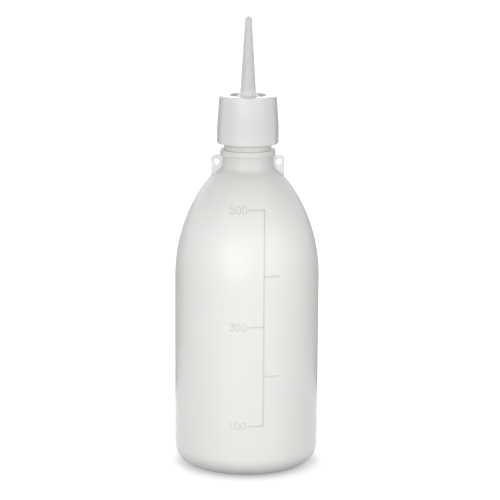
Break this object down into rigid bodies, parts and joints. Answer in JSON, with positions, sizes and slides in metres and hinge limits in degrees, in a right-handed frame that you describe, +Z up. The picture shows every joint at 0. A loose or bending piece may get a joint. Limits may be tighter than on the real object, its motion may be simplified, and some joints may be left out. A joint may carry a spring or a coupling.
{
  "type": "plastic oil bottle",
  "caption": "Translucent blow-moulded bottle with strap ears, a raised scale and a screw-on dropper cap with a long tapered nozzle.",
  "frame": {"origin": "on the bottle's axis, in the plane of the ring that it stands on", "axes": "+Z up along the bottle's axis to the nozzle's tip; -Y is the front, which carries the scale; the two ears lie along X"},
  "size_m": [0.073, 0.0732, 0.2286],
  "materials": {
    "bottle_plastic": "satin translucent, natural low-density polyethylene",
    "cap_plastic": "glossy, slightly translucent polyethylene"
  },
  "bodies": {
    "bottle_body": {"bottle": "bottle_plastic"},
    "cap_body": {"dropper_cap": "cap_plastic"}
  },
  "joints": [
    {"name": "cap_lift", "type": "slide", "parent": "bottle_body", "child": "cap_body", "axis": [0, 0, 1], "range_m": [0, 0.03]}
  ]
}
